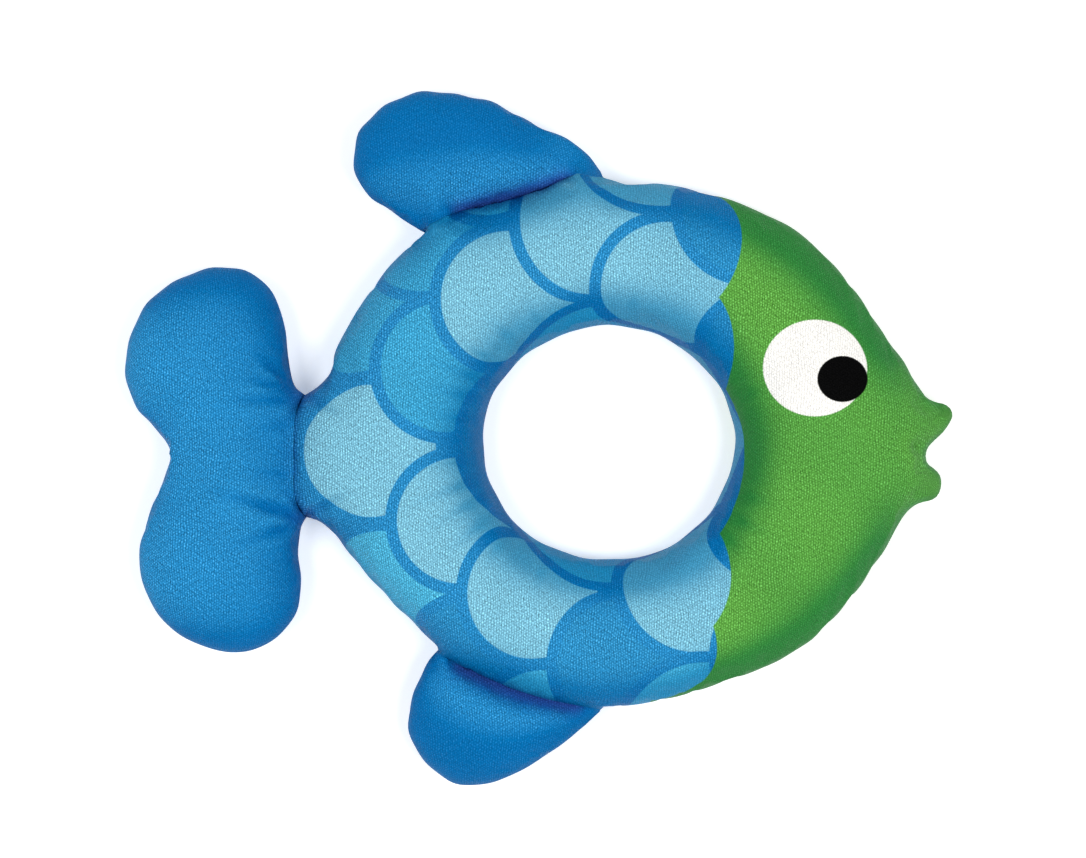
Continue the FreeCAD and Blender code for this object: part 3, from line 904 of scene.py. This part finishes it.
def knit(n, uv):
    """The knit's stitches at uv in mm, about -1 in the gaps and 1 on the yarn."""
    wobble = n.noise(uv, 0.05, 2.0)
    uneven = n.noise(uv, 0.45, 1.0)
    parts = n.add("ShaderNodeSeparateXYZ")
    n.put(parts.inputs[0], uv)
    x = n.math("ADD", parts.outputs[0], n.math("MULTIPLY", wobble, 5.0))
    row_wobble = n.math("MULTIPLY_ADD", wobble, 3.0, n.math("MULTIPLY", uneven, 1.6))
    y = n.math("ADD", parts.outputs[1], row_wobble)
    wale = n.math("COSINE", n.math("MULTIPLY", x, WALES * math.tau))
    across = n.math("COSINE", n.math("MULTIPLY", x, WALES / 2 * math.tau))
    course = n.math("COSINE", n.math("MULTIPLY", y, COURSES * math.tau))
    stitch = n.math("MULTIPLY", across, course)
    both = n.math("ADD", n.math("MULTIPLY", wale, 0.26), n.math("MULTIPLY", stitch, 0.34))
    slanted = n.add("ShaderNodeMapping")
    n.put(slanted.inputs["Vector"], uv)
    slanted.inputs["Rotation"].default_value = (0, 0, math.radians(24))
    slanted.inputs["Scale"].default_value = (1.0, 0.5, 1.0)
    fleck = n.noise(slanted.outputs[0], 1.25, 2.0, 0.65)
    return n.math("MULTIPLY_ADD", n.math("SUBTRACT", fleck, 0.5), 2.6, both)


def new_material(name):
    """A material with only a Principled shader, its nodes and the shader."""
    material = bpy.data.materials.new(name)
    material.use_nodes = True
    material.node_tree.nodes.clear()
    n = Nodes(material.node_tree)
    out = n.add("ShaderNodeOutputMaterial")
    shader = n.add("ShaderNodeBsdfPrincipled")
    n.put(out.inputs["Surface"], shader.outputs[0])
    return material, n, shader


def add_bump(n, shader, height, strength, distance):
    bump = n.add("ShaderNodeBump")
    bump.inputs["Strength"].default_value = strength
    bump.inputs["Distance"].default_value = distance
    n.put(bump.inputs["Height"], height)
    n.put(shader.inputs["Normal"], bump.outputs[0])


def cloth_material(name, paint, spots=()):
    """Brushed knit cloth. paint(n, uv) gives its printed colour at uv in mm; spots go on top of it."""
    material, n, shader = new_material(name)
    uv_map = n.add("ShaderNodeUVMap", uv_map="print")
    uv = n.vmath("SCALE", uv_map.outputs[0], scale=100.0)
    lively = knit(n, uv)
    colour = paint(n, uv)
    # Its seam layer holds the painted light and the painted crease shade.
    light_map = n.add("ShaderNodeUVMap", uv_map="seam")
    light_parts = n.add("ShaderNodeSeparateXYZ")
    n.put(light_parts.inputs[0], light_map.outputs[0])
    painted_light_in, crease_shade_in = light_parts.outputs[0], light_parts.outputs[1]
    # Painted shade: the print darkened where the painted light is low.
    painted_shade = n.mix(1.0, colour, rgba(PAINTED_SHADE_TIMES), "MULTIPLY")
    painted_shade = n.mix(1.0, painted_shade, rgba(PAINTED_SHADE_LESS), "SUBTRACT")
    colour = n.mix(painted_light_in, painted_shade, colour)
    # Painted violet shade in the creases.
    colour = n.mix(n.math("MULTIPLY", crease_shade_in, 0.75), colour, rgba(CREASE_SHADE_VIOLET))
    for spot, tint, fringe in spots:
        shifted = n.vmath("SUBTRACT", uv, (spot[0], spot[1], 0))
        ratio = n.vmath("MULTIPLY", shifted, (1.0, spot[2] / spot[3], 0.0))
        away = n.math("SUBTRACT", n.vmath("LENGTH", ratio), spot[2])
        colour = n.mix(n.ramp(away, -fringe, 0.1, 1.0, 0.0), colour, rgba(tint))
    patch = n.noise(uv, 0.035, 3.0, 0.6)
    shade = n.math("MULTIPLY_ADD", n.math("SUBTRACT", patch, 0.5), 0.22, 1.0)
    channels = n.add("ShaderNodeSeparateColor")
    n.put(channels.inputs[0], colour)
    # The grain is stronger where the painted light is high.
    depth = n.math("MULTIPLY_ADD", painted_light_in, 0.38, 0.38)
    depth = n.math("MULTIPLY", depth, n.ramp(channels.outputs[0], 0.5, 0.85, 1.0, 0.5))
    grain = n.math("MULTIPLY_ADD", lively, depth, shade)
    value = n.add("ShaderNodeHueSaturation")
    n.put(value.inputs["Value"], grain)
    n.put(value.inputs["Color"], colour)
    not_black = n.ramp(channels.outputs[1], 0.01, 0.06)
    # Light yarn specks and painted glints, more of them where the painted light is high.
    fleck_and_glint_share = n.math("MULTIPLY_ADD", painted_light_in, 0.72, 0.28)
    flecks_and_glints = n.math("MULTIPLY", n.ramp(lively, 0.1, 1.1, 0.0, 0.85), fleck_and_glint_share)
    flecks_and_glints = n.math("MULTIPLY", flecks_and_glints, not_black)
    lit = n.mix(1.0, value.outputs[0], rgba(FLECK_GLINT_TIMES), "MULTIPLY")
    lit = n.mix(1.0, lit, rgba(FLECK_GLINT_ADD), "ADD")
    n.put(shader.inputs["Base Color"], n.mix(flecks_and_glints, value.outputs[0], lit))
    n.put(shader.inputs["Roughness"], n.math("MULTIPLY_ADD", lively, -0.06, 0.50))
    shader.inputs["Specular IOR Level"].default_value = 0.03
    add_bump(n, shader, lively, 0.7, 0.30 * MM)
    return material


def paint_body(n, uv):
    """The body's print: scales laid over each other from tail to head, then the green head."""
    group = scale_group()
    colour = rgba(OUTLINE)
    for x, y, radius, fill in SCALES:
        node = n.add("ShaderNodeGroup")
        node.node_tree = group
        n.put(node.inputs["Vector"], uv)
        node.inputs["Centre"].default_value = (x, y, 0)
        node.inputs["Radius"].default_value = radius
        node.inputs["Fill"].default_value = rgba(fill)
        n.put(node.inputs["Under"], colour)
        colour = node.outputs["Color"]
    beyond = None
    for x, y, radius in HEAD_ARCS:
        d = n.math("SUBTRACT", n.vmath("DISTANCE", uv, (x, y, 0)), radius)
        beyond = d if beyond is None else n.math("MINIMUM", beyond, d)
    parts = n.add("ShaderNodeSeparateXYZ")
    n.put(parts.inputs[0], uv)
    beyond = n.math("MINIMUM", beyond, n.math("SUBTRACT", parts.outputs[0], 60.0))
    return n.mix(n.ramp(beyond, -0.35, 0.35), colour, rgba(GREEN))


def paint_blue(n, uv):
    """The fins' and tail's blue, a little uneven."""
    return n.mix(n.noise(uv, 0.02, 2.0), rgba(linear(0.110, 0.505, 0.735)),
                 rgba(linear(0.150, 0.530, 0.755)))


def plain_material(name, colour, dark, scale, bump_mm, rough):
    """Fibres or thread: a mottled colour with fine strands."""
    material, n, shader = new_material(name)
    place = n.add("ShaderNodeTexCoord").outputs["Object"]
    strands = n.noise(n.vmath("MULTIPLY", place, (1.0, 2.5, 1.7)), scale, 6.0, 0.7)
    n.put(shader.inputs["Base Color"], n.mix(strands, rgba(dark), rgba(colour)))
    n.put(shader.inputs["Roughness"], n.math("MULTIPLY_ADD", strands, 0.2, rough))
    add_bump(n, shader, strands, 0.8, bump_mm * MM)
    return material


body_cloth = cloth_material("printed knit", paint_body, ((EYE, WHITE, 0.7), (PUPIL, BLACK, 0.5)))
fin_cloth = cloth_material("blue knit", paint_blue)
fibre = plain_material("filling fibre", linear(0.95, 0.95, 0.93), linear(0.80, 0.80, 0.77),
                       420.0, 0.6, 0.8)
thread = plain_material("sewing thread", linear(0.10, 0.42, 0.74), linear(0.03, 0.22, 0.50),
                        2500.0, 0.08, 0.5)

# ---------------------------------------------------------------- what rides on what
def hinge_points(hinge, outs):
    """Points in m on the way out from the middle of a fin's hinge."""
    middle, turn = hinge
    normal = np.array([-math.sin(turn), math.cos(turn)])
    return [((middle[0] + normal[0] * o) * MM, (middle[1] + normal[1] * o) * MM, SEAM * MM)
            for o in outs]


BENDS = {
    "tail": [(x * MM, -8 * MM, SEAM * MM) for x in NECK_BEND],
    "upper_fin": hinge_points(HINGES[2], FIN_BEND),
    "lower_fin": hinge_points(HINGES[3], FIN_BEND),
}
for title in REGIONS.values():
    cloth, cloth_slot = (body_cloth, "body_print") if title == "body" else (fin_cloth, "fin_print")
    for part, node, material, slot in (("_cover_front", "_panel_front", cloth, cloth_slot),
                                       ("_cover_back", "_panel_back", cloth, cloth_slot),
                                       ("_stuffing", "_filling", fibre, "filling_fibre")):
        piece = pieces[title + part]
        piece.data.materials.append(material)
        if title == "body" or part == "_stuffing":
            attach(piece, title)
        else:
            start, end = BENDS[title]
            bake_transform(piece)
        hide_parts(title + node)
for name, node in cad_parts.items():
    if "thread" in name or "stitch" in name:
        node.data.materials.clear()
        node.data.materials.append(thread)

# ---------------------------------------------------------------- stage, light and camera
def area_light(name, place, size, power, colour, target=(0, 0, 0.03)):
    light = bpy.data.lights.new(name, "AREA")
    light.shape = "DISK"
    light.size = size
    light.energy = power
    light.color = colour
    lamp = bpy.data.objects.new(name, light)
    lamp.location = place
    lamp.rotation_euler = (Vector(target) - Vector(place)).to_track_quat("-Z", "Y").to_euler()
    bpy.context.scene.collection.objects.link(lamp)


FLOOR_HALF = 12.0      # m
corners = [(sx * FLOOR_HALF, sy * FLOOR_HALF, 0) for sx, sy in ((-1, -1), (1, -1), (1, 1), (-1, 1))]
floor = mesh_object("floor", corners, [(0, 1, 2, 3)])
floor_material = bpy.data.materials.new("pale floor")
floor_material.use_nodes = True
floor_shader = floor_material.node_tree.nodes["Principled BSDF"]
floor_shader.inputs["Base Color"].default_value = (0.95, 0.95, 0.95, 1)
floor_shader.inputs["Roughness"].default_value = 0.9
floor_shader.inputs["Specular IOR Level"].default_value = 0.1
floor_shader.inputs["Emission Color"].default_value = (1.0, 1.0, 1.0, 1)
floor_shader.inputs["Emission Strength"].default_value = 0.34
floor.data.materials.append(floor_material)

world = bpy.data.worlds.new("studio")
bpy.context.scene.world = world
world.use_nodes = True
world.node_tree.nodes["Background"].inputs[0].default_value = (1.0, 1.0, 1.0, 1)
world.node_tree.nodes["Background"].inputs[1].default_value = 0.40
area_light("key", (0.75, -0.2, 2.3), 0.8, 27, (1.0, 1.0, 1.0))
area_light("fill", (-0.75, -0.1, 2.3), 0.8, 22, (1.0, 1.0, 1.0))
bpy.context.scene.view_settings.view_transform = "Standard"

VIEW_DISTANCE = VIEW_DISTANCE_MM * MM
FRAME_WIDTH = PHOTO_WIDTH * PIXEL * MM
camera_data = bpy.data.cameras.new("camera")
camera_data.sensor_width = 36.0
camera_data.lens = 36.0 * VIEW_DISTANCE / FRAME_WIDTH
camera = bpy.data.objects.new("camera", camera_data)
camera.location = (EYE_POINT[0] * MM, EYE_POINT[1] * MM, SEAM * MM + VIEW_DISTANCE)
camera.rotation_euler = (0, 0, 0)
bpy.context.scene.collection.objects.link(camera)
bpy.context.scene.camera = camera
